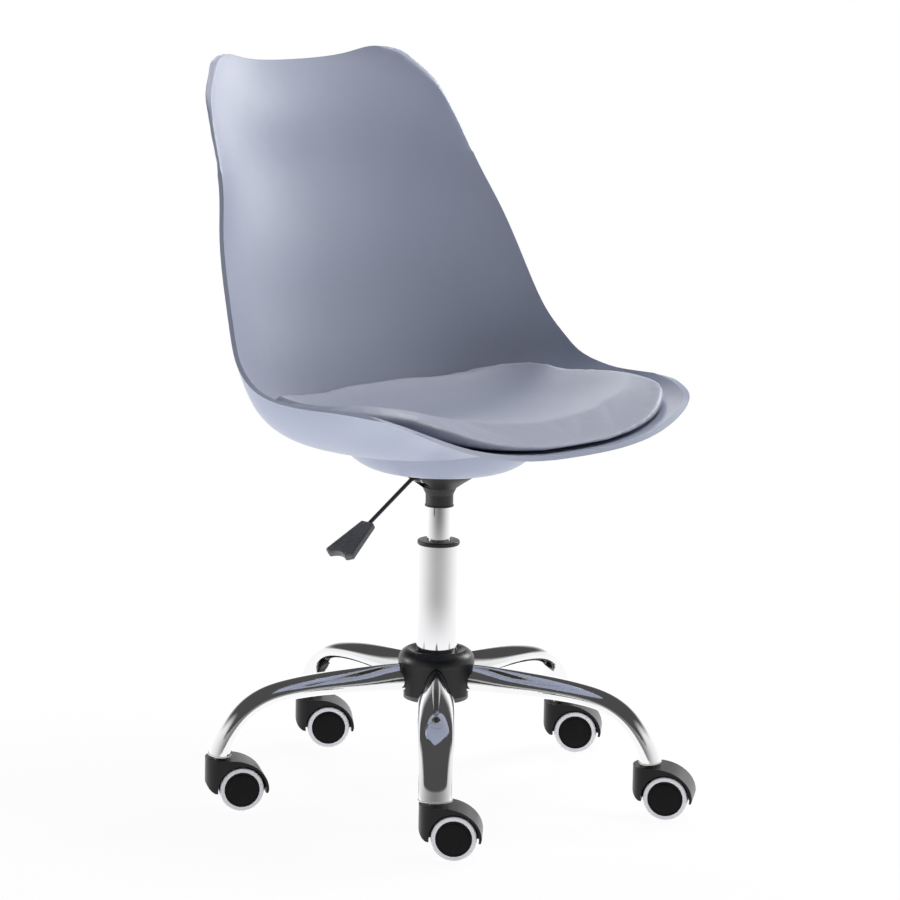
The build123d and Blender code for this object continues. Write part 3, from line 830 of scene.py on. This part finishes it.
class CHAIR_OT_wheel_caps(bpy.types.Operator):
    """Add the shallow domed cap on each wheel's outer face"""

    bl_idname = "chair.wheel_caps"
    bl_label = "Wheel caps"

    def execute(self, context):
        disc = nodes["wheel_1_left"].data.materials[0]
        dome = self.cap_group(disc)
        for n in leg_numbers:
            for side in sides:
                joint = joints[f"wheel_{n}_{side}_roll"]
                centre, axle = Vector(joint["pos_m"]), Vector(joint["axis"])
                if side == "left":
                    axle.negate()
                face = self.face_distance(f"wheel_{n}_{side}", centre, axle)
                cap = grow(f"wheel_cap_{n}_{side}", dome, disc)
                spin = Vector((0, 0, 1)).rotation_difference(axle).to_matrix().to_4x4()
                cap.data.transform(Matrix.Translation(centre + axle * face) @ spin)
                smooth(cap)
                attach(cap, f"castor_{n}_{side}")
        return {"FINISHED"}

    def face_distance(self, node, centre, axle):
        """How far the wheel's recessed outer face lies along its axle."""
        places = [v.co - centre for v in nodes[node].data.vertices]
        return max(place.dot(axle) for place in places
                   if (place - axle * place.dot(axle)).length < cap_seat_radius)

    def cap_group(self, material):
        """Node group of one cap: a flattened ball round the axle."""
        group, add = tree_group("wheel_cap", Cap=0.0172, Crown=0.0009)
        given = add("NodeGroupInput").outputs
        ball = add("GeometryNodeMeshUVSphere", {}, {
            "Segments": 64, "Rings": 24, "Radius": given["Cap"]})
        flat = add("ShaderNodeMath", {"operation": "DIVIDE"}, {0: given["Crown"],
                                                               1: given["Cap"]})
        scale = add("ShaderNodeCombineXYZ", {}, {"X": 1.0, "Y": 1.0, "Z": flat.outputs[0]})
        cap = add("GeometryNodeTransform", {}, {
            "Geometry": ball.outputs["Mesh"], "Scale": scale.outputs["Vector"]})
        finish_group(add, cap.outputs["Geometry"], material)
        return group


class CHAIR_OT_stage(bpy.types.Operator):
    """Set the floor, the light and the camera"""

    bl_idname = "chair.stage"
    bl_label = "Stage"

    def execute(self, context):
        studio = context.scene.chair_studio
        context.scene.view_settings.view_transform = "Standard"
        self.floor(studio)
        self.surroundings(context, studio.ambient)
        self.ceiling(studio)
        lit = self.all_but_chrome()
        for name, (place, size) in lamp_places.items():
            self.lamp(name, place, size, getattr(studio, name + "_power"), lit)
        self.camera(context, studio)
        return {"FINISHED"}

    def toward_camera(self, finish, heading):
        """0 behind the chair to 1 on the camera's side, for bright metal's surroundings."""
        level = finish.node("ShaderNodeVectorMath", {"operation": "MULTIPLY"},
                            {0: finish.place, 1: (1, 1, 0)})
        near = finish.facing(level, (sin(heading), -cos(heading), 0))
        return (near * 0.5 + 0.5) ** 2.0

    def floor(self, studio):
        """White to the camera, matt to the lamps and greyer in front for bright metal."""
        f = Finish("studio_floor")
        ray = add_node(f.tree, "ShaderNodeLightPath").outputs
        matt = f.node("ShaderNodeBsdfDiffuse", {}, {"Color": (0.9, 0.9, 0.9, 1)})
        glow = f.node("ShaderNodeEmission", {}, {"Strength": studio.bounce})
        matt = f.node("ShaderNodeMixShader", {}, {
            0: Wire(f, ray["Is Diffuse Ray"]) * 0.5, 1: matt, 2: glow})
        plain = f.node("ShaderNodeEmission", {}, {"Strength": 1.0})
        out = f.node("ShaderNodeVectorMath", {"operation": "LENGTH"}, {0: f.place},
                     out="Value")
        share = out.between(0.5, 1.8) * (1 - studio.floor_white) + studio.floor_white
        seen = f.node("ShaderNodeMixShader", {}, {
            0: Wire(f, ray["Is Camera Ray"]) * share, 1: matt, 2: plain})
        grey = self.toward_camera(f, studio.heading) * (
            out.between(0.7, 1.05) * 0.55 + out.between(1.4, 1.6) * 0.25)
        mirrored = f.node("ShaderNodeEmission", {}, {
            "Color": f.blend(grey, white, black), "Strength": studio.gleam})
        surface = f.end(f.node("ShaderNodeMixShader", {}, {
            0: ray["Is Glossy Ray"], 1: seen, 2: mirrored}))
        work = bmesh.new()
        bmesh.ops.create_circle(work, cap_ends=True, segments=96, radius=floor_radius)
        floor = show("studio_floor", closed(work, bpy.data.meshes.new("studio_floor")))
        dress(floor, surface)

    def surroundings(self, context, ambient):
        """White where the camera and bright metal look, a faint light on all else."""
        world = bpy.data.worlds.new("studio")
        world.use_nodes = True
        context.scene.world = world
        tree = world.node_tree
        tree.nodes.clear()
        ray = add_node(tree, "ShaderNodeLightPath").outputs
        seen = ray["Is Camera Ray"]
        for kind in ("Is Glossy Ray", "Is Transmission Ray"):
            seen = add_node(tree, "ShaderNodeMath", {"operation": "MAXIMUM"},
                            {0: seen, 1: ray[kind]}).outputs[0]
        soft = add_node(tree, "ShaderNodeBackground", {}, {
            "Color": (0.95, 0.97, 1.0, 1), "Strength": ambient})
        plain = add_node(tree, "ShaderNodeBackground", {}, {
            "Color": white, "Strength": 1.0})
        mix = add_node(tree, "ShaderNodeMixShader", {}, {
            0: seen, 1: soft.outputs[0], 2: plain.outputs[0]})
        add_node(tree, "ShaderNodeOutputWorld", {}, {"Surface": mix.outputs[0]})

    def ceiling(self, studio):
        """Dark dome over white walls, seen only by bright metal and gloss."""
        f = Finish("studio_ceiling")
        height = f.facing(f.place, (0, 0, 1))
        aside = abs(f.facing(f.place, (cos(studio.heading), sin(studio.heading), 0)))
        front = self.toward_camera(f, studio.heading)
        dark = height.between(0.20, 0.42) * (1.0 - aside.between(0.75, 0.95)) * 0.93
        glow = f.end(f.node("ShaderNodeEmission", {}, {
            "Color": f.blend(dark.at_least(front * 0.78), white, black),
            "Strength": studio.gleam}))
        work = bmesh.new()
        bmesh.ops.create_icosphere(work, subdivisions=5, radius=dome_radius)
        bmesh.ops.delete(work, geom=[v for v in work.verts if v.co.z < dome_foot])
        dome = show("studio_ceiling", closed(work, bpy.data.meshes.new("studio_ceiling")))
        dress(dome, glow)
        dome.visible_camera = False
        dome.visible_diffuse = False
        dome.visible_shadow = False
        dome.visible_transmission = False

    def all_but_chrome(self):
        """Receivers of the lamps: bright metal shows the studio's dome and floor alone."""
        chrome = bpy.data.collections.new("bright_metal")
        for node in chromed:
            chrome.objects.link(nodes[node])
        for member in chrome.collection_objects:
            member.light_linking.link_state = "EXCLUDE"
        return chrome

    def lamp(self, name, place, size, power, receivers):
        """Round lamp that looks at the chair."""
        data = bpy.data.lights.new(name, "AREA")
        data.shape = "DISK"
        data.size = size
        data.energy = power
        lamp = bpy.data.objects.new(name, data)
        lamp.location = place
        toward = lamp_target - lamp.location
        lamp.rotation_euler = toward.to_track_quat("-Z", "Y").to_euler()
        bpy.context.scene.collection.objects.link(lamp)
        lamp.light_linking.receiver_collection = receivers

    def camera(self, context, studio):
        """Camera at its heading, tilt and roll round the aimed point."""
        data = bpy.data.cameras.new("camera")
        data.sensor_width = 36
        data.lens = studio.lens
        data.clip_end = 60
        camera = bpy.data.objects.new("camera", data)
        back = Vector((sin(studio.heading) * cos(studio.tilt),
                       -cos(studio.heading) * cos(studio.tilt), sin(studio.tilt)))
        right = Vector((cos(studio.heading), sin(studio.heading), 0))
        up = back.cross(right)
        across = right * cos(studio.roll) + up * sin(studio.roll)
        upward = up * cos(studio.roll) - right * sin(studio.roll)
        turn = Matrix((across, upward, back)).transposed().to_4x4()
        camera.matrix_world = Matrix.Translation(
            Vector(studio.aim) + back * studio.distance) @ turn
        bpy.context.scene.collection.objects.link(camera)
        context.scene.camera = camera


class CHAIR_PT_panel(bpy.types.Panel):
    """Lists the steps that dress the chair"""

    bl_label = "Swivel chair"
    bl_idname = "CHAIR_PT_panel"
    bl_space_type = "VIEW_3D"
    bl_region_type = "UI"
    bl_category = "Chair"

    def draw(self, context):
        column = self.layout.column()
        for group in settings_groups:
            settings = getattr(context.scene, group)
            for key in settings.__annotations__:
                column.prop(settings, key)
        for operator in operators:
            column.operator(operator.bl_idname)


operators = (CHAIR_OT_shell, CHAIR_OT_pad, CHAIR_OT_metal, CHAIR_OT_plastic,
             CHAIR_OT_screw_drives, CHAIR_OT_wheel_caps, CHAIR_OT_stage)
settings_groups = {"chair_finish": ChairFinish, "chair_shell": ShellShape,
                   "chair_pad": PadShape, "chair_studio": StudioSetup}


def register():
    for group in settings_groups.values():
        bpy.utils.register_class(group)
    for name, group in settings_groups.items():
        setattr(bpy.types.Scene, name, bpy.props.PointerProperty(type=group))
    for operator in operators:
        bpy.utils.register_class(operator)
    bpy.utils.register_class(CHAIR_PT_panel)


def unregister():
    bpy.utils.unregister_class(CHAIR_PT_panel)
    for operator in reversed(operators):
        bpy.utils.unregister_class(operator)
    for name, group in settings_groups.items():
        delattr(bpy.types.Scene, name)
        bpy.utils.unregister_class(group)


def main():
    """Dresses the chair."""
    register()
    for operator in operators:
        family, name = operator.bl_idname.split(".")
        getattr(getattr(bpy.ops, family), name)()


if __name__ == "__main__":
    main()
